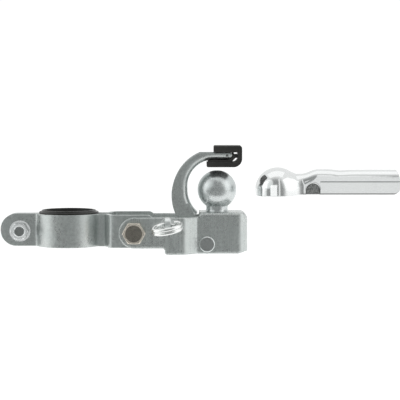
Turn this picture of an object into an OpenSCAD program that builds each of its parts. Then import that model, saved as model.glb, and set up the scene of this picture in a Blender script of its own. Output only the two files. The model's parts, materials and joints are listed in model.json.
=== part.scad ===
// Seat-post tow-ball hitch for a bicycle trailer, with its loose ball coupler.
// Millimetres, +Z up, +X towards the ball. Origin: axis of the seat-post bore, at half the strap height.

/* [Clamp] */
// Radius of the seat post the lined clamp grips
post_r = 15.9; // [12.5:0.1:16.4]
// Inner radius of the two strap halves
strap_r = 17.5; // [17.4:0.1:18.2]
// Sheet thickness of the strap halves and of the yoke
sheet_t = 3.0; // [2.5:0.1:3.2]
// Height of the strap halves
strap_h = 20.8; // [19:0.1:24]
// Half the gap between the two clamp ears
ear_gap = 1.75; // [1:0.05:2]
// Distance from the post axis to the ear bolt
ear_x = 31.0; // [30:0.5:33]
// Height of the ear bolt
ear_z = -0.7; // [-1:0.1:0]

/* [Tilt joint] */
// Distance from the post axis to the tilt bolt
tilt_x = 42.9; // [41:0.1:44]
// Height of the tilt bolt
tilt_z = -0.8; // [-1.5:0.1:0]
// Radius of the tilt bolt
tilt_r = 4.0; // [3:0.1:4.4]
// Half the distance between the inner faces of the strap plates
plate_y = 15.5; // [15.5:0.1:15.8]

/* [Yoke] */
// Distance from the post axis to the outer face of the end wall
box_end = 115.0; // [112:0.5:120]
// Outer half width of the box under the ball
box_y = 13.0; // [12.8:0.1:13.4]
// Height of the top plate's upper face
box_top = 11.7; // [11.4:0.1:12.2]
// Height of the box's lower edge
box_low = -14.6; // [-17:0.1:-14]

/* [Ball] */
// Radius of the tow ball
ball_r = 12.5; // [11:0.1:13]
// Distance from the post axis to the ball centre
ball_x = 95.5; // [95:0.1:96.5]
// Height of the ball centre
ball_z = 25.6; // [24.6:0.1:26]

/* [Hook] */
// Sheet thickness of the hook
hook_t = 2.0; // [1.6:0.1:2.2]
// Overall width of the hook
hook_w = 19.0; // [17:0.1:19.2]
// Distance from the post axis to the pivot pin
pivot_x = 89.1; // [88.6:0.1:89.6]
// Height of the pivot pin
pivot_z = -8.6; // [-9:0.1:-8]
// Radius of the pivot pin
pivot_r = 4.0; // [3:0.1:4.2]

/* [Ring] */
// Mean radius of the strap ring
ring_r = 8.9; // [8:0.1:10]
// Radius of the ring's wire
wire_r = 1.15; // [0.9:0.05:1.2]

/* [Coupler] */
// Outer radius of the coupler cup
cup_r = 14.4; // [14.3:0.1:14.6]
// Sheet thickness of the coupler
shell_t = 1.6; // [1.2:0.1:1.7]
// Distance from the post axis to the coupler's tail end
tail_end = 213.0; // [190:1:260]

/* [Hidden] */
$fn = 96;
run = 0.05;
plate_out = plate_y + sheet_t;
arm_in = plate_out + 0.1;
arm_out = arm_in + sheet_t;
strap_out = strap_r + sheet_t;
bend = 3;
neck_y = 5;
neck_x = sqrt(pow(strap_out + bend, 2) - pow(neck_y + sheet_t + bend, 2));
ear_bend_x = sqrt(pow(strap_out + bend, 2) - pow(ear_gap + sheet_t + bend, 2));
ear_turn = 90 - atan2(ear_gap + sheet_t + bend, ear_bend_x);
neck_turn = 90 - atan2(neck_y + sheet_t + bend, neck_x);
ear_end = ear_x + 12.7;
ear_round = strap_h / 2;
ear_lip = 30;
kick = 75;
kick_r = 2;
kick_len = (plate_y - neck_y - (2 * kick_r + sheet_t) * (1 - cos(kick))) / sin(kick);
plate_len = 24.3;
arm_h = 9.75;
box_in = box_y - sheet_t;
box_x = 84.5;
step_x = 62.3;
ear_bore = 3.2;
hook_in = [95.9, 25.7];
hook_in_r = 19.4;
top_r = 17;
hook_out = [95.9, 22.4];
hook_out_r = 29.5;
tip_x = 105.2;
web_low = 228;
coil_r = 4.95;
coil_wire = 0.6;
ring_hub = [64.4, -26.2, 4.8];
cup_c = [134.5, 0, 25.6];
cup_low = 22.1;
rim_z = 23.1;
tail_z = 31.15;
tail_r = 7.25;
saddle_x = 149;
saddle_z = 22.8;
saddle_r = 12.5;
dent_c = [157, 25.4];
dent_r = 4.7;
dent_y = 4.6;

hook_under = hook_in[1] + hook_in_r;
top_c = [hook_in[0] - hook_in_r + top_r, hook_under - top_r];

// ---- shared shapes ----

// One edge of a folded strip seen from above, at a distance from its right-hand side.
// A step is [length] for a flat, or [inner radius, turn] for a bend.
function edge(steps, t, off, p = [0, 0], h = 0, i = 0) =
    i == len(steps) ? [p + off * left(h)]
    : len(steps[i]) == 1 ? concat(
        i == 0 ? [p + off * left(h)] : [],
        edge(steps, t, off, p + steps[i][0] * [cos(h), sin(h)], h, i + 1))
    : let (
        r = steps[i][0],
        a = steps[i][1],
        c = a > 0 ? p + (r + t) * left(h) : p - r * left(h),
        rim = a > 0 ? off - r - t : r + off,
        foot = a > 0 ? -r - t : r,
        cuts = ceil(abs(a) / 3),
        first = len(steps[i - 1]) == 1 ? 0 : 1
    ) concat(
        [for (k = [first:cuts]) c + rim * left(h + a * k / cuts)],
        edge(steps, t, off, c + foot * left(h + a), h + a, i + 1));

function left(h) = [-sin(h), cos(h)];

// The strip given height, starting in the given direction.
module strip(steps, t, h, start = 0) {
    a = edge(steps, t, 0, [0, 0], start);
    b = edge(steps, t, t, [0, 0], start);
    linear_extrude(h) polygon(concat(a, [for (k = [1:len(b)]) b[len(b) - k]]));
}

// A rectangle with its own radius at each corner: lower left, lower right, upper right, upper left.
module corner_rect(x0, z0, x1, z1, r) {
    difference() {
        translate([x0, z0]) square([x1 - x0, z1 - z0]);
        corner(x0, z0, r[0], 0);
        corner(x1, z0, r[1], 90);
        corner(x1, z1, r[2], 180);
        corner(x0, z1, r[3], 270);
    }
}

module corner(x, z, r, turn) {
    if (r > 0) {
        translate([x, z]) rotate(turn) difference() {
            translate([-1, -1]) square(r + 1);
            translate([r, r]) circle(r);
        }
    }
}

// A side-view outline (X and Z) given thickness along Y, centred on the plane of symmetry.
module slab(w) {
    rotate([90, 0, 0]) translate([0, 0, -w / 2]) linear_extrude(w) children();
}

// A round bar along Y between two Y values.
module bar(x, z, y0, y1, r) {
    translate([x, y0, z]) rotate([-90, 0, 0]) cylinder(r = r, h = y1 - y0);
}

module hex_bar(x, z, y0, y1, flats, turn) {
    translate([x, y0, z]) rotate([-90, 0, 0]) rotate([0, 0, turn]) linear_extrude(y1 - y0)
        polygon([for (i = [0:5]) flats / sqrt(3) * [cos(60 * i), sin(60 * i)]]);
}

// A hexagon with the corners of its outer face turned off at thirty degrees.
module hex_head(x, z, y_seat, y_out, flats, turn) {
    corner_r = flats / sqrt(3);
    drop = corner_r - flats * 0.47;
    dir = y_out > y_seat ? 1 : -1;
    high = abs(y_out - y_seat);
    intersection() {
        hex_bar(x, z, min(y_seat, y_out), max(y_seat, y_out), flats, turn);
        translate([x, y_seat, z]) rotate([-90 * dir, 0, 0]) union() {
            cylinder(r = corner_r + 1, h = high - (drop + 1) * 0.577);
            translate([0, 0, high - (drop + 1) * 0.577])
                cylinder(r1 = corner_r + 1, r2 = flats * 0.47, h = (drop + 1) * 0.577);
        }
    }
}

function tangent_point(p, c, r, side) =
    let (d = norm(c - p), f = atan2(c[1] - p[1], c[0] - p[0]) + side * asin(r / d))
    p + sqrt(d * d - r * r) * [cos(f), sin(f)];

// ---- clamp ----

module strap_half() {
    difference() {
        translate([-ear_end, ear_gap - sin(ear_lip) - 2 * (1 - cos(ear_lip)), -strap_h / 2]) strip([
            [1],
            [2, -ear_lip],
            [ear_end - ear_bend_x - cos(ear_lip) - 2 * sin(ear_lip)],
            [bend, ear_turn],
            [strap_r, -ear_turn - neck_turn],
            [bend, neck_turn],
            [1.75],
            [kick_r, kick],
            [kick_len],
            [kick_r, -kick],
            [plate_len]
        ], sheet_t, strap_h, ear_lip);
        bar(-ear_x, ear_z, -1, 30, ear_bore);
        bar(tilt_x, tilt_z, 0, 30, tilt_r + run);
        ear_trim();
        plate_trim();
    }
}

// Everything outside the full-radius end of the clamp ear.
module ear_trim() {
    translate([-ear_end, 0, 0]) slab(20) difference() {
        translate([-3, -ear_round - 1]) square([ear_round + 3, 2 * ear_round + 2]);
        translate([ear_round, 0]) circle(ear_round);
        translate([ear_round, -ear_round]) square([2, 2 * ear_round]);
    }
}

// Everything outside the rounded corners of the plate by the tilt bolt.
module plate_trim() {
    end_x = plate_end();
    slab(60) difference() {
        translate([end_x - 4, -strap_h / 2 - 1]) square([5, strap_h + 2]);
        corner_rect(end_x - 14, -strap_h / 2, end_x, strap_h / 2, [0, 4, 4, 0]);
    }
}

function plate_end() = neck_x + 1.75 + (2 * kick_r + sheet_t) * sin(kick) + kick_len * cos(kick) + plate_len;

module near_strap() {
    color([0.72, 0.74, 0.73]) mirror([0, 1, 0]) strap_half();
}

module far_strap() {
    color([0.72, 0.74, 0.73]) strap_half();
}

module post_liner() {
    liner_r = strap_r - 0.05;
    color([0.12, 0.12, 0.11]) difference() {
        union() {
            translate([0, 0, -strap_h / 2]) cylinder(r = liner_r, h = strap_h + 2.2);
            translate([0, 0, strap_h / 2]) cylinder(r = liner_r + 1.65, h = 1.2);
        }
        translate([0, 0, -strap_h]) cylinder(r = post_r, h = 2 * strap_h);
        translate([-30, -1.5, -strap_h]) cube([30, 3, 2 * strap_h]);
    }
}

module ear_bolt() {
    seat = ear_gap + sheet_t + 1.4;
    color([0.66, 0.66, 0.64]) union() {
        bar(-ear_x, ear_z, -9.6, seat + 1, 3);
        difference() {
            hex_head(-ear_x, ear_z, seat, seat + 4, 10, 0);
            bar(-ear_x, ear_z, seat + 3.6, seat + 5, 3.6);
        }
    }
}

module ear_washer() {
    y = ear_gap + sheet_t;
    color([0.7, 0.7, 0.68]) difference() {
        bar(-ear_x, ear_z, y, y + 1.35, 6);
        bar(-ear_x, ear_z, y - 1, y + 3, 3.2);
    }
}

module ear_nut() {
    y = -ear_gap - sheet_t;
    color([0.66, 0.66, 0.64]) difference() {
        union() {
            bar(-ear_x, ear_z, y - 1.2, y, 6.8);
            hex_head(-ear_x, ear_z, y - 1, y - 6, 10, 0);
        }
        bar(-ear_x, ear_z, y - 8, y + 1, 3.02);
        translate([-ear_x, y - 5.4, ear_z]) rotate([90, 0, 0]) cylinder(r1 = 3.0, r2 = 4.0, h = 0.9);
    }
}

// ---- tilt joint ----

module tilt_bolt() {
    seat = -arm_out - run;
    color([0.55, 0.51, 0.46]) union() {
        bar(tilt_x, tilt_z, seat - 1, 32.4, tilt_r);
        difference() {
            hex_head(tilt_x, tilt_z, seat, seat - 5.3, 13, 0);
            bar(tilt_x, tilt_z, seat - 6, seat - 4.7, 5.5);
        }
    }
}

module tilt_washer() {
    y = arm_out + run;
    color([0.7, 0.7, 0.68]) difference() {
        bar(tilt_x, tilt_z, y, y + 1.6, 8);
        bar(tilt_x, tilt_z, y - 1, y + 3, tilt_r + 0.2);
    }
}

module tilt_nut() {
    y = arm_out + run + 1.6;
    color([0.66, 0.66, 0.64]) difference() {
        union() {
            hex_head(tilt_x, tilt_z, y, y + 6.4, 13, 0);
            bar(tilt_x, tilt_z, y + 5, y + 8, 5.9);
        }
        bar(tilt_x, tilt_z, y - 1, y + 10, tilt_r + 0.02);
        bar(tilt_x, tilt_z, y + 5.6, y + 7.5, 5.2);
    }
}

module tilt_nut_insert() {
    y = arm_out + run + 1.6 + 5.6;
    color([0.25, 0.45, 0.75]) difference() {
        bar(tilt_x, tilt_z, y + 0.02, y + 1.88, 5.18);
        bar(tilt_x, tilt_z, y - 1, y + 3, tilt_r + 0.02);
    }
}

module spacer_tube() {
    color([0.7, 0.7, 0.68]) difference() {
        bar(tilt_x, tilt_z, -plate_y + run, plate_y - run, 6.5);
        bar(tilt_x, tilt_z, -20, 20, tilt_r + 0.3);
    }
}

// ---- yoke ----

// Side view of the arms and their inward faces.
module arm_side() {
    low = tilt_z - arm_h;
    difference() {
        union() {
            translate([tilt_x, tilt_z]) circle(arm_h);
            translate([tilt_x, low]) square([50, 2 * arm_h]);
            corner_rect(step_x, box_low, 100, tilt_z, [1.8, 0, 0, 0]);
            translate([step_x - 1.6, low - 1.6]) square([1.7, 1.7]);
        }
        translate([step_x - 1.6, low - 1.6]) circle(1.6);
    }
}

// One flank seen from above: arm, gentle bow, inward face and the start of the box wall.
module yoke_flank(h) {
    inward = arm_in - box_in - 40 * (1 - cos(12)) - 2.5 * (cos(12) - cos(45)) - 5.5 * (1 - cos(45));
    translate([tilt_x - arm_h - 1, arm_in, 0]) strip([
        [64.9 - tilt_x + arm_h + 1],
        [40, -12],
        [2.5, -33],
        [inward / sin(45)],
        [2.5, 45],
        [1.2]
    ], sheet_t, h);
}

// A box rounded along its upper edges, on its upright corners and at the end wall.
module box_form(inset) {
    x0 = box_x - 0.6;
    intersection() {
        slab(60) difference() {
            corner_rect(x0, box_low, box_end - inset, box_top - inset, [0, 0, 5 - inset, 0]);
            if (inset == 0) {
                translate([box_x - 3, tilt_z + arm_h + 3]) circle(3);
                polygon([
                    [box_end - 6, box_low - 1], [box_end - 6, box_low], [box_end - 1.5, box_low + 1.2],
                    [box_end + 1, box_low + 1.3], [box_end + 1, box_low - 1]
                ]);
            }
        }
        translate([0, 0, box_low - 10]) linear_extrude(60)
            corner_rect(x0, -box_y + inset, box_end - inset, box_y - inset, [0, 8 - inset, 8 - inset, 0]);
        translate([x0, 0, 0]) rotate([90, 0, 90]) linear_extrude(60)
            corner_rect(-box_y + inset, box_low - 10, box_y - inset, box_top - inset,
                [0, 0, max(0, 2.8 - inset), max(0, 2.8 - inset)]);
    }
}

module yoke() {
    lift = box_top - box_low;
    color([0.7, 0.72, 0.71]) difference() {
        union() {
            for (m = [0, 1]) mirror([0, m, 0]) intersection() {
                translate([0, 0, box_low]) yoke_flank(lift);
                slab(60) arm_side();
            }
            difference() {
                box_form(0);
                translate([-5, 0, -5]) box_form(sheet_t);
                box_form(sheet_t);
                translate([box_x - 5, -box_in, box_low - 1]) cube([5, 2 * box_in, 40]);
            }
        }
        bar(tilt_x, tilt_z, -30, 30, tilt_r + run);
        bar(pivot_x, pivot_z, -30, 30, pivot_r + 0.02);
        translate([ball_x, 0, 0]) cylinder(r = 5.1, h = 30);
        bar(ring_hub[0], ring_hub[2], -30, 0, 2.02);
    }
}

// ---- ball ----

module tow_ball() {
    color([0.78, 0.8, 0.8]) translate([ball_x, 0, 0]) difference() {
        union() {
            translate([0, 0, ball_z]) sphere(ball_r);
            translate([0, 0, box_top]) cylinder(r = 7, h = ball_z - box_top);
            translate([0, 0, box_top]) cylinder(r1 = 7.6, r2 = 7, h = 1.2);
            translate([0, 0, 1.2]) cylinder(r = 4.95, h = 20);
        }
        translate([0, 0, ball_z + ball_r - 0.12]) cylinder(r = 5, h = 2);
    }
}

module ball_washer() {
    z = box_top - sheet_t;
    color([0.7, 0.7, 0.68]) translate([ball_x, 0, z - 1.5]) difference() {
        cylinder(r = 9, h = 1.5);
        translate([0, 0, -1]) cylinder(r = 5.2, h = 4);
    }
}

module ball_nut() {
    z = box_top - sheet_t - 1.5;
    color([0.66, 0.66, 0.64]) translate([ball_x, 0, z]) difference() {
        rotate([-90, 0, 0]) hex_head(0, 0, 0, 5, 16, 30);
        translate([0, 0, -6]) cylinder(r = 5, h = 8);
    }
}

// ---- hook ----

module pivot_pin() {
    color([0.6, 0.6, 0.58]) union() {
        bar(pivot_x, pivot_z, -box_y - 0.5, box_y + 0.5, pivot_r);
        for (m = [0, 1]) mirror([0, m, 0]) {
            bar(pivot_x, pivot_z, box_y, box_y + 0.8, 5);
            translate([pivot_x, box_y + 0.8, pivot_z]) rotate([-90, 0, 0]) cylinder(r1 = 5, r2 = 4.5, h = 0.5);
        }
    }
}

module torsion_spring() {
    turns = 7;
    step = 2 * coil_wire - 0.1;
    first = -step * (turns - 1) / 2;
    color([0.45, 0.45, 0.43]) union() {
        for (i = [0:turns - 1]) {
            translate([pivot_x, first + i * step, pivot_z]) rotate([90, 0, 0])
                rotate_extrude() translate([coil_r, 0]) circle(coil_wire, $fn = 24);
        }
        translate([pivot_x - coil_r, first, pivot_z]) rotate([0, -16, 0]) translate([0, 0, -0.4])
            cylinder(r = coil_wire - 0.04, h = 21.6);
        translate([pivot_x + coil_r * cos(41), -first, pivot_z - coil_r * sin(41)]) rotate([0, 41, 0])
            translate([0, 0, -0.4]) cylinder(r = coil_wire - 0.04, h = 26.4);
    }
}

// Cross-section of the hook: x is the distance out from the inner edge, y is across its width.
module hook_section() {
    corner_rect(0, -hook_w / 2, 18, hook_w / 2, [4.2, 0, 0, 4.2]);
}

module hook_hollow() {
    corner_rect(hook_t, -hook_w / 2 + hook_t, 20, hook_w / 2 - hook_t, [2.2, 0, 0, 2.2]);
}

// Sweeps a cross-section along the hook's inner edge.
module hook_sweep(reach) {
    translate([hook_in[0], 0, hook_in[1]]) rotate([90, 0, 0]) rotate([0, 0, 180])
        rotate_extrude(angle = web_low - 180) translate([hook_in_r, 0]) children();
    translate([hook_in[0] - hook_in_r, 0, hook_in[1]]) rotate([0, 0, 180])
        linear_extrude(top_c[1] - hook_in[1]) children();
    translate([top_c[0], 0, top_c[1]]) rotate([90, 0, 0]) rotate([0, 0, 90])
        rotate_extrude(angle = 90) translate([top_r, 0]) children();
    translate([top_c[0], 0, hook_under]) rotate([0, 90, 0]) rotate([0, 0, 180])
        linear_extrude(reach - top_c[0]) children();
}

// Side view of the hook above the yoke.
module hook_side() {
    intersection() {
        translate(hook_out) circle(hook_out_r);
        union() {
            corner_rect(60, 0, tip_x, 49.4, [0, 0, 1.2, 0]);
            translate([60, 0]) square([34, 49.6]);
        }
        union() {
            translate([60, 0]) square([40, 60]);
            corner_rect(90, hook_under, tip_x, 60, [0, 3.8, 0, 0]);
        }
    }
}

// Side view of the two legs that run down to the pivot.
module leg_side() {
    a = hook_out + (hook_out_r - 0.4) * [cos(203.2), sin(203.2)];
    b = hook_in + (hook_in_r + 2.2) * [cos(web_low - 1.5), sin(web_low - 1.5)];
    c = [pivot_x, pivot_z];
    difference() {
        union() {
            polygon([a, [74, 17], [78, 17], b, tangent_point(b, c, 6.4, 1), c, tangent_point(a, c, 6.4, -1)]);
            translate(c) circle(6.4);
        }
        translate(c) circle(pivot_r + run);
    }
}

module hook() {
    color([0.68, 0.7, 0.7]) difference() {
        union() {
            intersection() {
                slab(40) hook_side();
                hook_sweep(tip_x + 1) hook_section();
            }
            difference() {
                slab(hook_w) leg_side();
                slab(hook_w - 2 * hook_t) translate([60, -20]) square([50, 50]);
            }
        }
        hook_sweep(tip_x - hook_t) hook_hollow();
        bar(101.9, 47.95, -20, 20, 0.8);
    }
}

// Outline of the pad's outer clip.
module clip_side() {
    difference() {
        corner_rect(88.8, 40.4, 111.5, 54.1, [0.9, 5.5, 1.7, 0]);
        corner_rect(80, 43.6, 93.3, 60, [0, 0, 0, 0]);
        corner_rect(90, 43.6, 108.8, 49.85, [0, 3, 1, 0]);
        corner(93.3, 54.1, 0.9, 270);
    }
}

// Outline of the saddle that hugs the hook's tip and the inside of its bend.
module saddle_side() {
    intersection() {
        union() {
            translate(top_c) circle(top_r - 0.02);
            translate([top_c[0], 40]) square([20, 12]);
        }
        saddle_block();
    }
}

module saddle_block() {
    difference() {
        polygon([
            [89.6, 43.3], [104.4, 43.3], [107.2, 46.3], [109.2, 46.6], [109.2, 48.5], [106.6, 48.4],
            [105.9, 50.2], [104.6, 50.2], [104.6, 46], [89.6, 46]
        ]);
        corner_rect(80, hook_under - 0.02, tip_x + 0.02, 49.85, [0, 3.8, 1.2, 0]);
    }
}

module hook_pad() {
    color([0.1, 0.1, 0.1]) difference() {
        union() {
            slab(21) clip_side();
            slab(18.4) saddle_side();
            translate([100.4, -5.2, hook_under + hook_t + 0.02]) cube([2.7, 10.4, 4]);
        }
        bar(101.9, 47.95, -20, 20, 0.8);
    }
}

module pad_pin() {
    color([0.3, 0.3, 0.3]) bar(101.9, 47.95, -hook_w / 2, hook_w / 2, 0.78);
}

// ---- ring ----

module ring_stud() {
    x = ring_hub[0];
    y = ring_hub[1];
    z = ring_hub[2];
    color([0.68, 0.7, 0.7]) difference() {
        union() {
            bar(x, z, -arm_out - 1.4, -arm_out, 4.5);
            bar(x, z, -arm_out - 0.5, -arm_in + 1.2, 2);
            bar(x, z, -arm_in + 0.15, -arm_in + 1.2, 3.6);
            translate([x - 1.8, y, z]) rotate([0, 90, 0]) cylinder(r = 4.6, h = 3.6);
            translate([x - 1.8, y, z - 2.6]) cube([3.6, -arm_out - y, 5.2]);
        }
        translate([x - 6, y, z]) rotate([0, 90, 0]) cylinder(r = 3.1, h = 12);
    }
}

module strap_ring() {
    color([0.8, 0.81, 0.8]) translate(ring_hub) rotate([9, 0, 0]) rotate([0, -11, 0]) translate([0, -ring_r, 0])
        for (s = [-1, 1]) {
            translate([0, 0, s * (wire_r - 0.1)]) rotate_extrude() translate([ring_r, 0]) circle(wire_r, $fn = 32);
        }
}

// ---- coupler ----

// Side view of the swept body between the cup and the tail, spun about the cup's long axis.
module saddle_profile(inset) {
    difference() {
        translate([141, 0]) square([20, 12.9 - inset]);
        translate([saddle_x, saddle_z]) circle(saddle_r + inset);
    }
}

// The coupler's outer form, or its hollow when it is inset.
module coupler_form(inset) {
    end_x = tail_end + (inset > 0 ? 5 : 0);
    difference() {
        union() {
            translate(cup_c) sphere(cup_r - inset);
            translate([cup_c[0], 0, 0]) cylinder(r = cup_r - inset, h = cup_c[2]);
            intersection() {
                translate([141, 0, 0]) rotate([90, 0, 90]) linear_extrude(end_x - 141) union() {
                    translate([0, tail_z]) circle(tail_r - inset);
                    translate([-tail_r + inset, 0]) square([2 * (tail_r - inset), tail_z]);
                }
                union() {
                    translate([0, 0, cup_c[2]]) rotate([0, 90, 0])
                        rotate_extrude() rotate(90) mirror([0, 1]) saddle_profile(inset);
                    translate([157.5, -20, 0]) cube([end_x - 157.5, 40, 60]);
                    translate([141, -20, 0]) cube([20, 40, cup_c[2]]);
                }
            }
        }
        slab(60) rim_side(inset > 0 ? -3 : 0);
    }
}

// Everything below the rim, seen from the side.
module rim_side(shift) {
    translate([0, shift]) polygon([
        [100, -30], [300, -30], [300, rim_z], [152, rim_z], [140, cup_low], [100, cup_low]
    ]);
}

// Outline of the pressed arch in the two side walls.
module dent_side(grow) {
    translate([dent_c[0], dent_c[1]]) circle(dent_r + grow);
    translate([dent_c[0] - dent_r - grow, 15]) square([2 * (dent_r + grow), dent_c[1] - 15]);
}

// The rounded end of the tail.
module tail_side() {
    difference() {
        translate([tail_end - 10, 10]) square([12, 40]);
        translate([tail_end - 22.7, 28]) circle(22.7);
    }
    corner(tail_end, rim_z, 4, 90);
}

module coupler_shell() {
    color([0.82, 0.83, 0.83]) difference() {
        union() {
            difference() {
                coupler_form(0);
                coupler_form(shell_t);
            }
            intersection() {
                coupler_form(0);
                for (m = [0, 1]) mirror([0, m, 0])
                    translate([0, tail_r - 0.75, 0]) rotate([90, 0, 0]) linear_extrude(3.5) dent_side(1.6);
            }
        }
        for (m = [0, 1]) mirror([0, m, 0])
            translate([0, 20, 0]) rotate([90, 0, 0]) linear_extrude(20 - dent_y) dent_side(0);
        slab(40) tail_side();
    }
}

near_strap();
far_strap();
post_liner();
ear_bolt();
ear_washer();
ear_nut();
tilt_bolt();
tilt_washer();
tilt_nut();
tilt_nut_insert();
spacer_tube();
yoke();
tow_ball();
ball_washer();
ball_nut();
pivot_pin();
torsion_spring();
hook();
hook_pad();
pad_pin();
ring_stud();
strap_ring();
coupler_shell();
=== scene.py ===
import json
import math

import bmesh
import bpy
from mathutils import Matrix, Vector

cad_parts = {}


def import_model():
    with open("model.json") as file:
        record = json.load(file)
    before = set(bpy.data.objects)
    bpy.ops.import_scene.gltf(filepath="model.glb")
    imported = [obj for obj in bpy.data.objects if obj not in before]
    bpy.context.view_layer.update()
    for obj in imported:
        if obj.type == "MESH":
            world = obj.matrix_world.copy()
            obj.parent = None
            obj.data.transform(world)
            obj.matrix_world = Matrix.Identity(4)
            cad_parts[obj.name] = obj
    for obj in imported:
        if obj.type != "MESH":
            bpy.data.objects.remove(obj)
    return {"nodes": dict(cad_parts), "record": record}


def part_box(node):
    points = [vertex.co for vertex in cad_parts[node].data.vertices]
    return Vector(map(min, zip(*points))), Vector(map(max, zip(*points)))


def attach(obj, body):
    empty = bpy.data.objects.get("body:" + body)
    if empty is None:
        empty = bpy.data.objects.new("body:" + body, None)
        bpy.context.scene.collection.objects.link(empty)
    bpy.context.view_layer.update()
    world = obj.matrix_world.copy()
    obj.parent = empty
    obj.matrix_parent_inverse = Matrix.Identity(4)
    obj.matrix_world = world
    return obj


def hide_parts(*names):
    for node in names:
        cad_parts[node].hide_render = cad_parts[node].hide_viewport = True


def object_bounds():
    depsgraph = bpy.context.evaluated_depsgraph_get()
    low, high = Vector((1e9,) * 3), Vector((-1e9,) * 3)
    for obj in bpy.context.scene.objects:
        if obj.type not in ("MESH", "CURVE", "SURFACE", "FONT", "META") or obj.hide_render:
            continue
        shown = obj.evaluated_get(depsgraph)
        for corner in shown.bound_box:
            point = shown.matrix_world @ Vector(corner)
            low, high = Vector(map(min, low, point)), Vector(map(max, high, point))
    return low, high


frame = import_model()
cad_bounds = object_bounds()
nodes = frame["nodes"]
record = frame["record"]
scene = bpy.context.scene

MM = 0.001
MOUNTS = {m["name"]: Vector(m["pos_m"]) / MM for m in record["mounts"]}
HINGES = {
    j["name"]: Vector(j["pos_m"]) / MM
    for j in record["behaviour"]["joints"] if j["type"] == "hinge"
}

# The loose coupler, in millimetres. A pair or triple starts with two places along X, and a triple ends
# with how much changes between them.
CUP = MOUNTS["coupler_cup"]
CUP_R = 14.4
CUP_LOW = 22.1
SHEET = 1.6
NECK_LEN = 17.0
SADDLE_END = 149
SADDLE_TOP = 35.85
RISE = (149.5, 160.5, 2.95)
FALL = (165, 182, 0.35)
DIP_X = 174.6
DIP_LEN = 4.2
DIP = 0.55
RIM_Z = 23.1
RIM_RISE = (138, 153)
TAIL_W = 7.25
TAIL_CREASE = MOUNTS["drawbar_channel"].z
TAIL_END = MOUNTS["drawbar_channel"].x
CREASE_RISE = (142, 158)
WALL_STEP = (160, 163, 0.16)
TAIL_CORNER = 4
TAIL_BOW = 0.022
TAIL_BOW_START = 196
TAIL_MID_Z = 28
ARCH_X = 157.0
ARCH_Z = 25.4
ARCH_R = 4.7
ARCH_DEPTH = 2.65
ARCH_START = 145
RIM_BULGE = 0.4

# Where the coupler's look changes: Y beside the arches and Z over them (rougher, pitted and darker with
# painted shade), and X along the cut lower edge (a painted shade line).
SHADE_AND_DULL_Y = (6.2, 7.1)
SHADE_AND_DULL_Z = (30.0, 31.1)
SHADED_RIM_X = (148, 152)

# The split ring and the torsion spring, in millimetres and degrees.
RING_MEAN = 8.9
RING_WIRE = 1.15
RING_DROOP = 9
RING_ROLL = -11
RING_JOG = 90
JOG_HALF = 30
WIRE_GAP = 32
COIL_R = 4.95
COIL_HALF = 3.3
COIL_WIRE = 0.6
COIL_TURNS = 6
COIL_END = 139
HOOK_LEG = (21.2, -16)
WALL_LEG = (26, 41)

# How far a wire's domed end stands out, and the angles of its rings.
WIRE_CAP = 0.45
CAP_ANGLES = (0.35, 0.8, 1.2)


# ---------- node graphs ----------

class Graph:
    """Adds nodes to a node tree. An input that is given a socket is linked, and any other value is set."""

    def __init__(self, tree):
        self.tree = tree

    def put(self, value, socket):
        if isinstance(value, bpy.types.NodeSocket):
            self.tree.links.new(value, socket)
        else:
            socket.default_value = value

    def node(self, kind, inputs=None, **props):
        made = self.tree.nodes.new(kind)
        for name, value in props.items():
            setattr(made, name, value)
        for key, value in (inputs or {}).items():
            self.put(value, made.inputs[key])
        return made

    def object_spot(self):
        return self.node("ShaderNodeTexCoord").outputs["Object"]

    def coords(self, scale=(1, 1, 1), turn=(0, 0, 0)):
        inputs = {"Vector": self.object_spot(), "Scale": scale, "Rotation": turn}
        return self.node("ShaderNodeMapping", inputs).outputs["Vector"]

    def noise(self, vec, scale, detail=3.0, rough=0.55):
        inputs = {"Vector": vec, "Scale": scale, "Detail": detail, "Roughness": rough}
        return self.node("ShaderNodeTexNoise", inputs).outputs["Fac"]

    def span(self, value, low, high, start=0.35, stop=0.65, kind="LINEAR"):
        """Maps start..stop to low..high."""
        inputs = {"Value": value, "From Min": start, "From Max": stop, "To Min": low, "To Max": high}
        return self.node("ShaderNodeMapRange", inputs, interpolation_type=kind).outputs["Result"]

    def mix(self, amount, first, second):
        inputs = {0: amount, 6: first, 7: second}
        return self.node("ShaderNodeMix", inputs, data_type="RGBA").outputs[2]

    def math(self, operation, *values):
        return self.node("ShaderNodeMath", dict(enumerate(values)), operation=operation).outputs[0]

    def plus(self, first, second):
        return self.math("ADD", first, second)

    def times(self, first, second):
        return self.math("MULTIPLY", first, second)

    def vector(self, operation, *values):
        return self.node("ShaderNodeVectorMath", dict(enumerate(values)), operation=operation)

    def bump(self, height, strength, distance, normal=None):
        inputs = {"Height": height, "Strength": strength, "Distance": distance}
        if normal is not None:
            inputs["Normal"] = normal
        return self.node("ShaderNodeBump", inputs).outputs["Normal"]


class Look(Graph):
    """The node graph of one material, round its main shader."""

    def __init__(self, mat):
        super().__init__(mat.node_tree)
        self.mat = mat
        self.shader = mat.node_tree.nodes["Principled BSDF"]

    def feed(self, name, value):
        self.put(value, self.shader.inputs[name])

    def source(self, name):
        """The socket that already feeds one of the shader's inputs."""
        return self.shader.inputs[name].links[0].from_socket


def new_look(name):
    mat = bpy.data.materials.new(name)
    mat.use_nodes = True
    return Look(mat)


def shade(color, factor=1.0):
    return tuple(min(1.0, c * factor) for c in color) + (1.0,)


# ---------- materials ----------

DRAWN_LINES = (0.80, 0.83, 0.82, 1)
# Painted shade: the darker grey inside the pressed arches.
ARCH_SHADE = (0.42, 0.43, 0.42, 1)
ARCH_PITS = (0.05, 0.05, 0.05, 1)
# Painted shade: the dark line along the coupler's cut lower edge.
RIM_SHADE = (0.22, 0.22, 0.22, 1)


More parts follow.
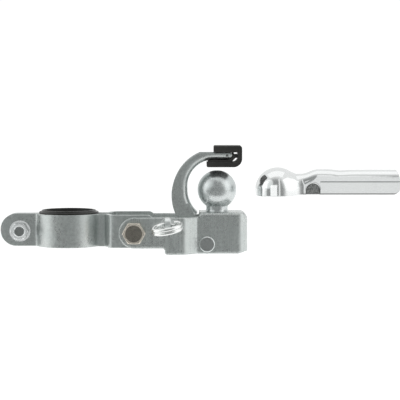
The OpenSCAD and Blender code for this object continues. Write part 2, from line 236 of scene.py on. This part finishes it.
def zinc(name, base, rough, grain=0.35, spread=0.05, streak=0.0, soft_edge=0.0, metal=0.86):
    """Zinc-plated steel: mottled crystals, cloudy patches, handling marks and, with streak, drawn lines."""
    g = new_look(name)
    vec = g.coords()
    fine = g.noise(vec, 2600, 4.0, 0.6)
    mid = g.noise(vec, 620)
    cloud = g.noise(vec, 55, 3.0, 0.6)
    crystals = g.plus(g.times(fine, 0.6), g.times(mid, 0.4))
    color = g.mix(g.span(crystals, 0, 1), shade(base, 0.74), shade(base, 1.14))
    color = g.mix(g.span(cloud, 0.0, 0.30), color, (base[0] * 0.86, base[1] * 0.93, base[2] * 0.92, 1))
    polish = g.plus(g.span(mid, rough - spread, rough + spread), g.span(cloud, -0.03, 0.05))
    height = g.plus(g.times(fine, 0.35), g.times(mid, 0.9))
    if streak:
        lines = g.noise(g.coords((240, 240, 3)), 9, 2.0, 0.5)
        color = g.mix(g.span(lines, 0.0, 0.35), color, DRAWN_LINES)
        polish = g.plus(polish, g.span(lines, -0.03, 0.05))
        height = g.plus(height, g.times(lines, streak))
    g.feed("Base Color", color)
    g.feed("Roughness", polish)
    g.feed("Metallic", metal)
    edge = None
    if soft_edge:
        edge = g.node("ShaderNodeBevel", {"Radius": soft_edge}, samples=6).outputs["Normal"]
    normal = g.bump(height, grain, 0.000018, edge)
    marks = {"Vector": g.coords((30, 900, 900), (0.3, 0.5, 0.9)), "Scale": 1.0}
    scratch = g.node("ShaderNodeTexVoronoi", marks, feature="DISTANCE_TO_EDGE").outputs["Distance"]
    g.feed("Normal", g.bump(g.span(scratch, 0.0, 1.0, 0.0, 0.03), 0.04, 0.00004, normal))
    return g.mat


def chrome(name, base, rough):
    """Polished plate with faint smears and a slight waviness."""
    g = new_look(name)
    vec = g.coords()
    smear = g.noise(vec, 70, 4.0, 0.6)
    fine = g.noise(vec, 1500, 3.0, 0.5)
    g.feed("Base Color", g.mix(g.span(smear, 0, 1), shade(base, 0.96), shade(base)))
    g.feed("Metallic", 0.92)
    g.feed("Roughness", g.plus(g.span(smear, rough * 0.6, rough * 1.5), g.span(fine, -0.01, 0.01)))
    g.feed("Normal", g.bump(g.plus(g.times(smear, 3.0), g.times(fine, 0.10)), 0.25, 0.00008))
    return g.mat


def plastic(name, base, rough):
    """Moulded plastic or rubber with a fine grain."""
    g = new_look(name)
    vec = g.coords()
    fine = g.noise(vec, 1600, 3.0, 0.6)
    cloud = g.noise(vec, 90, 3.0, 0.6)
    g.feed("Base Color", g.mix(g.span(cloud, 0, 1), shade(base, 0.85), shade(base, 1.2)))
    g.feed("Roughness", g.plus(g.span(fine, rough - 0.05, rough + 0.05), g.span(cloud, -0.05, 0.05)))
    g.feed("Normal", g.bump(fine, 0.3, 0.00005))
    return g.mat


def painted_shade_disc(look, node, radius, inside, outside):
    """A copy of a look with painted shade and highlight: its colour is scaled inside and outside a radius
    round a fastener's own axis, darker in the middle and lighter round it where the outside factor is above
    one.
    """
    g = Look(look.copy())
    g.mat.name = look.name + "_" + node
    color = g.source("Base Color")
    low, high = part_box(node)
    axis = ((low[0] + high[0]) / 2, 0, (low[2] + high[2]) / 2)
    offset = g.vector("SUBTRACT", g.object_spot(), axis).outputs[0]
    flat = g.vector("MULTIPLY", offset, (1, 0, 1)).outputs[0]
    away = g.vector("LENGTH", flat).outputs["Value"]
    factor = g.span(away, inside, outside, (radius - 0.25) * MM, (radius + 0.1) * MM)
    tone = g.node("ShaderNodeVectorMath", {0: color, "Scale": factor}, operation="SCALE")
    g.feed("Base Color", tone.outputs[0])
    return g.mat


def coupler_chrome(look):
    """Makes a polish rough and pitted inside the pressed arches and darkens them with painted shade, and
    paints a dark shade line along the cut lower edge.
    """
    g = Look(look)
    color = g.source("Base Color")
    polish = g.source("Roughness")
    spot = g.object_spot()
    place = g.node("ShaderNodeSeparateXYZ", {0: spot}).outputs
    beside = g.math("ABSOLUTE", g.math("SUBTRACT", place["X"], ARCH_X * MM))
    outward = g.math("ABSOLUTE", place["Y"])
    in_x = g.span(beside, 1.0, 0.0, (ARCH_R - 0.3) * MM, (ARCH_R + 0.3) * MM)
    in_y = g.span(outward, 1.0, 0.0, SHADE_AND_DULL_Y[0] * MM, SHADE_AND_DULL_Y[1] * MM)
    in_z = g.span(place["Z"], 1.0, 0.0, SHADE_AND_DULL_Z[0] * MM, SHADE_AND_DULL_Z[1] * MM)
    arch = g.times(g.times(in_x, in_y), in_z)
    grit = g.noise(spot, 1900, 3.0, 0.5)
    pits = g.times(arch, g.span(grit, 0.75, 0.0, 0.42, 0.60))
    # Painted shade along the cut lower edge of the tail, mixed in below.
    low = g.span(place["Z"], 1.0, 0.0, (RIM_Z + 0.1) * MM, (RIM_Z + 0.7) * MM)
    tail = g.span(place["X"], 0.0, 1.0, SHADED_RIM_X[0] * MM, SHADED_RIM_X[1] * MM)
    # Painted shade darkens the arches; the pits on top of it are their own grain.
    color = g.mix(arch, color, ARCH_SHADE)
    color = g.mix(pits, color, ARCH_PITS)
    color = g.mix(g.times(low, tail), color, RIM_SHADE)
    g.feed("Base Color", color)
    g.feed("Roughness", g.plus(polish, g.times(arch, g.span(grit, 0.25, 0.55))))
    return look


M_ZINC = zinc("satin_zinc", (0.62, 0.645, 0.635), 0.33, soft_edge=0.0007)
M_YOKE = zinc("satin_zinc_drawn", (0.59, 0.615, 0.605), 0.29, streak=0.8, soft_edge=0.0022)
M_BRIGHT = zinc("bright_zinc", (0.80, 0.82, 0.815), 0.30, grain=0.15, spread=0.03, metal=0.75)
M_BALL = zinc("ball_zinc", (0.70, 0.73, 0.73), 0.30, grain=0.10, spread=0.03)
M_NUT = zinc("nut_zinc", (0.88, 0.90, 0.91), 0.24, grain=0.12, spread=0.03, metal=0.92)
M_BOLT = zinc("bolt_steel", (0.50, 0.455, 0.40), 0.28, grain=0.25)
M_SPRING = zinc("spring_steel", (0.30, 0.30, 0.29), 0.35, grain=0.15)
M_CHROME = coupler_chrome(chrome("chrome", (0.83, 0.84, 0.84), 0.09))
M_RING = chrome("ring_chrome", (0.88, 0.89, 0.88), 0.15)
M_PAD = plastic("black_plastic", (0.030, 0.029, 0.027), 0.42)
M_LINER = plastic("black_liner", (0.022, 0.022, 0.020), 0.36)
M_NYLON = plastic("nylon", (0.10, 0.22, 0.48), 0.45)
# Painted shade in the middle of each fastener end, and a painted highlight round the bolt head and rivet.
M_BOLT_HEAD = painted_shade_disc(M_BOLT, "tilt_bolt", 5.5, 0.62, 1.5)
M_RIVET = painted_shade_disc(M_BRIGHT, "pivot_pin", 4.5, 0.55, 1.1)
M_STUD_END = painted_shade_disc(M_BRIGHT, "ear_bolt", 2.9, 0.45, 0.8)

LOOKS = {
    "near_strap": M_ZINC, "far_strap": M_ZINC, "post_liner": M_LINER, "ear_bolt": M_STUD_END,
    "ear_washer": M_BRIGHT, "ear_nut": M_NUT, "tilt_bolt": M_BOLT_HEAD, "tilt_washer": M_BRIGHT,
    "tilt_nut": M_BRIGHT, "tilt_nut_insert": M_NYLON, "spacer_tube": M_ZINC, "yoke": M_YOKE,
    "tow_ball": M_BALL, "ball_washer": M_BRIGHT, "ball_nut": M_BRIGHT, "pivot_pin": M_RIVET,
    "torsion_spring": M_SPRING, "hook": M_ZINC, "hook_pad": M_PAD, "pad_pin": M_SPRING,
    "ring_stud": M_BRIGHT, "strap_ring": M_RING, "coupler_shell": M_CHROME,
}

# Widths of the rounded edges, in millimetres. A node that isn't named keeps its edges as they are.
EDGES = {
    "near_strap": 0.45, "far_strap": 0.45, "post_liner": 0.3, "ear_bolt": 0.2, "ear_washer": 0.2,
    "ear_nut": 0.25, "tilt_bolt": 0.35, "tilt_washer": 0.2, "tilt_nut": 0.25, "tilt_nut_insert": 0.1,
    "spacer_tube": 0.3, "yoke": 0.45, "ball_washer": 0.2, "ball_nut": 0.25, "pivot_pin": 0.15,
    "hook": 0.4, "hook_pad": 0.35, "ring_stud": 0.4, "tow_ball": 0.2,
}

# Nodes with short edges, where rounding that overlaps would leave spikes.
CLAMPED = {
    "ear_nut", "ear_bolt", "ear_washer", "tilt_nut", "tilt_washer", "ball_nut", "ball_washer",
    "ring_stud", "near_strap", "far_strap", "hook",
}


def round_edges(obj, width, clamped):
    flat = obj.modifiers.new("flat", "DECIMATE")
    flat.decimate_type = "DISSOLVE"
    flat.angle_limit = math.radians(0.3)
    edges = obj.modifiers.new("edges", "BEVEL")
    edges.width = width
    edges.segments = 3
    edges.limit_method = "ANGLE"
    edges.angle_limit = math.radians(32)
    edges.use_clamp_overlap = clamped
    edges.miter_outer = "MITER_ARC"


def dress(name):
    """Gives a CAD node its material, rounded edges and smooth shading, and leaves its own vertices alone."""
    obj = nodes[name]
    faces = obj.data.polygons
    obj.data.materials.clear()
    obj.data.materials.append(LOOKS[name])
    faces.foreach_set("use_smooth", [True] * len(faces))
    faces.foreach_set("material_index", [0] * len(faces))
    weld = obj.modifiers.new("weld", "WELD")
    weld.merge_threshold = 2e-6
    if name in EDGES:
        round_edges(obj, EDGES[name] * MM, name in CLAMPED)
    normals = obj.modifiers.new("normals", "WEIGHTED_NORMAL")
    normals.keep_sharp = True
    normals.weight = 60


# ---------- the coupler ----------

def smooth(x, low, high):
    t = min(1.0, max(0.0, (x - low) / (high - low)))
    return t * t * (3 - 2 * t)


def soft_max(a, b, width):
    h = min(1.0, max(0.0, 0.5 + 0.5 * (a - b) / width))
    return b + (a - b) * h + width * h * (1 - h)


def cup_width(x, inset):
    return math.sqrt(max(0.0, (CUP_R - inset) ** 2 - (x - CUP.x) ** 2))


def coupler_top(x, inset):
    """Height of the coupler's back: cup, saddle, the rise after it, a slight dip and the straight tail."""
    dome = CUP.z + cup_width(x, inset)
    tail = SADDLE_TOP + RISE[2] * smooth(x, *RISE[:2]) - FALL[2] * smooth(x, *FALL[:2])
    tail -= DIP * math.exp(-((x - DIP_X) / DIP_LEN) ** 2)
    if x > SADDLE_END:
        return tail - inset
    if x < CUP.x:
        return dome
    return soft_max(dome, tail - inset, 3.0)


def coupler_half_width(x, inset):
    """The cup's own width in front, then a waist that narrows to the tail."""
    if x < CUP.x:
        return cup_width(x, inset)
    t = min(1.0, (x - CUP.x) / NECK_LEN)
    return TAIL_W - inset + (CUP_R - TAIL_W) * (0.5 + 0.5 * math.cos(math.pi * t)) ** 0.9


def coupler_rim(x):
    """Height of the cut lower edge, which turns up in a round corner at the tail's end."""
    low = CUP_LOW + (RIM_Z - CUP_LOW) * smooth(x, *RIM_RISE)
    past = x - (TAIL_END - TAIL_CORNER)
    if past <= 0:
        return low
    return low + TAIL_CORNER - math.sqrt(max(0.0, TAIL_CORNER ** 2 - past ** 2))


def arch_depth(x, z):
    """How deep the arch in each side wall is pressed in."""
    if x <= ARCH_START:
        return 0.0
    away = abs(x - ARCH_X) if z < ARCH_Z else math.hypot(x - ARCH_X, z - ARCH_Z)
    return ARCH_DEPTH * (1 - smooth(away - ARCH_R, -1.1, 0.2))


def coupler_point(x, v, inset):
    """A point of the section at x, where v runs up the near wall to 1, over the top to 2 and down to 3."""
    width = coupler_half_width(x, inset)
    crease = CUP.z + (TAIL_CREASE - CUP.z) * smooth(x, *CREASE_RISE)
    if 1 < v < 2:
        turn = math.pi * (v - 1)
        y = -math.cos(turn) * width
        z = crease + (coupler_top(x, inset) - crease) * math.sin(turn)
    else:
        side = -1 if v <= 1 else 1
        up = v if v <= 1 else 3 - v
        low = coupler_rim(x)
        z = low + (crease - low) * up
        step = WALL_STEP[2] * smooth(x, *WALL_STEP[:2]) if inset == 0 else 0.0
        y = side * (width - step * smooth(1 - up, 0.0, 0.05) - arch_depth(x, z))
    bow = TAIL_BOW * smooth(x, TAIL_BOW_START, TAIL_END) * (z - TAIL_MID_Z) ** 2
    return Vector((x - bow, y, z)) * MM


def coupler_columns():
    """Places round the section, for v: both walls and the arc between them."""
    walls = 22
    arc = 56
    near = [i / walls for i in range(walls + 1)]
    over = [1 + i / arc for i in range(1, arc)]
    far = [2 + i / walls for i in range(walls + 1)]
    return near + over + far


def coupler_stations():
    """Places along X: the cup, the waist, the arches, the tail and its round corner."""
    corner = TAIL_END - TAIL_CORNER
    xs = [CUP.x - CUP_R * math.cos(math.pi / 2 * i / 60) for i in range(61)]
    xs += [CUP.x + i * 0.45 for i in range(1, 34)]
    xs += [xs[-1] + i * 0.32 for i in range(1, 45)]
    last = xs[-1]
    xs += [last + (corner - last) * i / 46 for i in range(1, 47)]
    xs += [corner + TAIL_CORNER * math.sin(math.pi / 2 * i / 9) for i in range(1, 10)]
    return xs


def coupler_skin(bm, inset):
    """The grid of vertices of one face of the sheet. In front, the inner one is drawn in by the inset."""
    columns = coupler_columns()
    grid = []
    for x in coupler_stations():
        back = CUP.x - x
        station = CUP.x - back * (CUP_R - inset) / CUP_R if back > 0 else x
        grid.append([bm.verts.new(coupler_point(station, v, inset)) for v in columns])
    return grid


def close_rim(bm, pairs, outward):
    """Joins the two skins along a cut edge, with a slightly rounded face."""
    bulge = outward * (RIM_BULGE * MM)
    rows = []
    for a, b in pairs:
        spots = [a.co.lerp(b.co, t) + bulge * math.sin(math.pi * t) for t in (0.2, 0.5, 0.8)]
        rows.append([a] + [bm.verts.new(co) for co in spots] + [b])
    for p, q in zip(rows, rows[1:]):
        for k in range(len(p) - 1):
            bm.faces.new((p[k], p[k + 1], q[k + 1], q[k]))


def coupler_mesh():
    """The pressed shell: outer and inner skin, joined along both lower edges and at the tail's end."""
    bm = bmesh.new()
    outer = coupler_skin(bm, 0.0)
    inner = coupler_skin(bm, SHEET)
    last = len(outer[0]) - 1
    for i in range(len(outer) - 1):
        for j in range(last):
            bm.faces.new((outer[i][j], outer[i + 1][j], outer[i + 1][j + 1], outer[i][j + 1]))
            bm.faces.new((inner[i][j], inner[i][j + 1], inner[i + 1][j + 1], inner[i + 1][j]))
    for j in (0, last):
        close_rim(bm, [(a[j], b[j]) for a, b in zip(outer, inner)], Vector((0, 0, -1)))
    close_rim(bm, list(zip(outer[-1], inner[-1])), Vector((1, 0, 0)))
    bmesh.ops.remove_doubles(bm, verts=bm.verts, dist=1e-7)
    bmesh.ops.dissolve_degenerate(bm, edges=bm.edges, dist=1e-7)
    loose = [v for v in bm.verts if not v.link_faces]
    bmesh.ops.delete(bm, geom=loose, context="VERTS")
    bmesh.ops.recalc_face_normals(bm, faces=bm.faces)
    return bm


# ---------- wire pieces ----------

def wire_stations(points):
    """Place, tangent and two cross directions along a path, without twist."""
    stations = []
    last = len(points) - 1
    normal = (points[1] - points[0]).normalized().orthogonal().normalized()
    for i, point in enumerate(points):
        tangent = (points[min(i + 1, last)] - points[max(i - 1, 0)]).normalized()
        normal = (normal - tangent * normal.dot(tangent)).normalized()
        stations.append((point, tangent, normal, tangent.cross(normal)))
    return stations


def wire_cap(station, radius, way):
    """The rings of a domed wire end, from its tip inwards."""
    point, tangent, normal, side = station
    reach = way * radius * WIRE_CAP
    return [
        (point + tangent * reach * math.cos(k), normal, side, radius * math.sin(k))
        for k in CAP_ANGLES
    ]


def tube(points, radius, sides):
    """Sweeps a round wire along a path, with slightly domed ends."""
    bm = bmesh.new()
    stations = wire_stations(points)
    rings = wire_cap(stations[0], radius, -1)
    rings += [(point, normal, side, radius) for point, _, normal, side in stations]
    rings += wire_cap(stations[-1], radius, 1)[::-1]
    angles = [2 * math.pi * k / sides for k in range(sides)]
    loops = [
        [bm.verts.new(point + r * (math.cos(w) * normal + math.sin(w) * side)) for w in angles]
        for point, normal, side, r in rings
    ]
    for low, high in zip(loops, loops[1:]):
        for k in range(sides):
            after = (k + 1) % sides
            bm.faces.new((low[k], low[after], high[after], high[k]))
    bm.faces.new(loops[0])
    bm.faces.new(loops[-1])
    bmesh.ops.recalc_face_normals(bm, faces=bm.faces)
    return bm


def ring_mesh():
    """A split ring: two flat coils joined by a jog at the stud, with the wire's ends on either side of it."""
    place = (Matrix.Translation(HINGES["ring_swing"])
             @ Matrix.Rotation(math.radians(RING_DROOP), 4, "X")
             @ Matrix.Rotation(math.radians(RING_ROLL), 4, "Y")
             @ Matrix.Translation((0, -RING_MEAN, 0)))
    steps = 180
    points = []
    for i in range(steps + 1):
        along = WIRE_GAP + (720 - 2 * WIRE_GAP) * i / steps
        rise = (RING_WIRE - 0.08) * (2 * smooth(along, 360 - JOG_HALF, 360 + JOG_HALF) - 1)
        turn = math.radians(along + RING_JOG)
        spot = Vector((RING_MEAN * math.cos(turn), RING_MEAN * math.sin(turn), rise))
        points.append((place @ spot) * MM)
    return tube(points, RING_WIRE * MM, 22)


def leg(length, lean):
    """A straight spring leg that leans towards +X by an angle from upright."""
    return length * Vector((math.sin(math.radians(lean)), 0, math.cos(math.radians(lean))))


def spring_mesh():
    """Torsion spring round the pivot pin: one leg up the hook, one against the end wall."""
    pivot = HINGES["hook_swing"]
    cuts = 14
    steps = COIL_TURNS * 48 + 18
    first = pivot + Vector((-COIL_R, -COIL_HALF, 0))
    start = first + leg(*HOOK_LEG)
    points = [start.lerp(first, i / cuts) for i in range(cuts)]
    for i in range(steps + 1):
        turn = math.radians(180 + (COIL_END + 360 * COIL_TURNS) * i / steps)
        y = COIL_HALF * (2 * i / steps - 1)
        points.append(pivot + Vector((COIL_R * math.cos(turn), y, COIL_R * math.sin(turn))))
    base = points[-1]
    end = base + leg(*WALL_LEG)
    points += [base.lerp(end, i / cuts) for i in range(1, cuts + 1)]
    return tube([p * MM for p in points], COIL_WIRE * MM, 14)


def piece(name, bm, node, body, look):
    """Makes a mesh object that rides on a body in place of a CAD node."""
    mesh = bpy.data.meshes.new(name)
    bm.to_mesh(mesh)
    bm.free()
    mesh.polygons.foreach_set("use_smooth", [True] * len(mesh.polygons))
    mesh.materials.append(look)
    obj = bpy.data.objects.new(name, mesh)
    scene.collection.objects.link(obj)
    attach(obj, body)
    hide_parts(node)
    return obj


for key in nodes:
    dress(key)

coupler = piece("coupler_shell_body", coupler_mesh(), "coupler_shell", "coupler", M_CHROME)
piece("strap_ring_coils", ring_mesh(), "strap_ring", "strap_ring", M_RING)
piece("torsion_spring_wire", spring_mesh(), "torsion_spring", "yoke", M_SPRING)


# ---------- stage, light and camera, in metres ----------

VIEW_AIM = Vector((0.0846, 0, 0.01885))
VIEW_TILT = 3.75
VIEW_DISTANCE = 0.96
LENS = 133.95
FLOOR_FRONT = -0.22
FLOOR_BACK = 8
FLOOR_SIDE = 6
FLOOR_DROP = 0.12

# Brightness of the surroundings. The windows' edges are degrees from their middle, outer edge first.
SIDE_LEVEL = 0.92
FRONT_LEVEL = 0.31
FRONT_AIM = (-0.22, -0.975, 0.0)
LEFT_GLOW = 0.45
RIGHT_GLOW = 0.10
LEFT_WINDOW = ((-0.714, -0.519, 0.469), 0.55)
RIGHT_WINDOW = ((0.714, -0.519, 0.469), 0.10)
WINDOW_EDGES = (26, 17)
BACKDROP_LEVEL = 1.05


def stage():
    """A pale floor under and behind the object. It ends in front, so that upright faces don't mirror it."""
    bm = bmesh.new()
    front = [(-FLOOR_SIDE, FLOOR_FRONT, 0), (FLOOR_SIDE, FLOOR_FRONT, 0)]
    back = [(FLOOR_SIDE, FLOOR_BACK, 0), (-FLOOR_SIDE, FLOOR_BACK, 0)]
    bm.faces.new([bm.verts.new(corner) for corner in front + back])
    mesh = bpy.data.meshes.new("floor")
    bm.to_mesh(mesh)
    bm.free()
    floor = bpy.data.objects.new("floor", mesh)
    floor.location = (0.08, 0, cad_bounds[0][2] - FLOOR_DROP)
    scene.collection.objects.link(floor)
    g = new_look("floor_white")
    g.feed("Base Color", (0.9, 0.9, 0.9, 1))
    g.feed("Roughness", 0.9)
    g.feed("Emission Color", (1, 1, 1, 1))
    g.feed("Emission Strength", 0.32)
    mesh.materials.append(g.mat)


def world():
    """Studio surroundings: pale all round, dimmer behind the camera, a window high on either side of it."""
    studio = bpy.data.worlds.new("studio")
    scene.world = studio
    studio.use_nodes = True
    g = Graph(studio.node_tree)
    g.tree.nodes.clear()
    ray = g.node("ShaderNodeTexCoord").outputs["Generated"]
    across = g.node("ShaderNodeSeparateXYZ", {0: ray}).outputs["X"]
    front = g.vector("DOT_PRODUCT", ray, FRONT_AIM).outputs["Value"]
    level = g.span(front, SIDE_LEVEL, FRONT_LEVEL, 0.20, 0.72, "SMOOTHSTEP")
    level = g.plus(level, g.span(across, 0.0, RIGHT_GLOW, 0.55, 0.95, "SMOOTHSTEP"))
    level = g.plus(level, g.span(across, LEFT_GLOW, 0.0, -0.93, -0.80, "SMOOTHSTEP"))
    outer, inner = (math.cos(math.radians(w)) for w in WINDOW_EDGES)
    for aim, power in (RIGHT_WINDOW, LEFT_WINDOW):
        near = g.vector("DOT_PRODUCT", ray, Vector(aim).normalized()).outputs["Value"]
        level = g.plus(level, g.span(near, 0.0, power, outer, inner, "SMOOTHSTEP"))
    greener = g.span(front, 0.0, 1.0, 0.3, 0.9, "SMOOTHSTEP")
    tint = g.mix(greener, (0.99, 1.0, 0.995, 1), (0.96, 1.0, 0.99, 1))
    light = g.node("ShaderNodeBackground", {0: tint, 1: level}).outputs[0]
    backdrop = g.node("ShaderNodeBackground", {0: (1, 1, 1, 1), 1: BACKDROP_LEVEL}).outputs[0]
    seen = g.node("ShaderNodeLightPath").outputs["Is Camera Ray"]
    mixed = g.node("ShaderNodeMixShader", {0: seen, 1: light, 2: backdrop}).outputs[0]
    g.node("ShaderNodeOutputWorld", {0: mixed})


def area(name, where, aim, size, power):
    """A soft box that faces a point."""
    lamp = bpy.data.lights.new(name, "AREA")
    lamp.shape = "RECTANGLE"
    lamp.size, lamp.size_y = size
    lamp.energy = power
    obj = bpy.data.objects.new(name, lamp)
    obj.location = where
    obj.rotation_euler = (Vector(aim) - Vector(where)).to_track_quat("-Z", "Y").to_euler()
    scene.collection.objects.link(obj)
    return obj


def only_for(lamp, receiver):
    """Limits a soft box to one object."""
    group = bpy.data.collections.new(lamp.name + "_receivers")
    group.objects.link(receiver)
    lamp.light_linking.receiver_collection = group


def lights():
    """Large soft boxes for everything, and three more that only the coupler or the ear nut reflects."""
    area("right_box", (0.75, -0.25, 0.30), (0.09, 0, 0.01), (0.5, 0.7), 0.35)
    area("left_box", (-0.60, -0.25, 0.25), (0.05, 0, 0.01), (0.4, 0.6), 0.15)
    area("top_box", (0.08, 0.05, 0.70), (0.08, 0, 0.0), (0.8, 0.5), 0.3)
    strip_box = area("strip_box", (0.2525, -0.6, 0.45), (0.2525, 0, 0.45), (0.135, 1.1), 0.27)
    window_box = area("window_box", (-0.13, -0.6, 0.12), (-0.13, 0, 0.12), (0.44, 0.42), 0.50)
    nut_box = area("nut_box", (-0.103, -0.6, -0.05), (-0.031, 0, 0), (0.16, 0.16), 0.038)
    only_for(strip_box, coupler)
    only_for(window_box, coupler)
    only_for(nut_box, nodes["ear_nut"])


def camera():
    """A long lens, a little above level, that looks along +Y."""
    view = bpy.data.cameras.new("camera")
    view.lens = LENS
    view.sensor_width = 36
    view.clip_start = 0.01
    obj = bpy.data.objects.new("camera", view)
    tilt = math.radians(VIEW_TILT)
    obj.location = VIEW_AIM + VIEW_DISTANCE * Vector((0, -math.cos(tilt), math.sin(tilt)))
    obj.rotation_euler = (VIEW_AIM - obj.location).to_track_quat("-Z", "Y").to_euler()
    scene.collection.objects.link(obj)
    scene.camera = obj


stage()
world()
lights()
camera()
scene.view_settings.view_transform = "Standard"
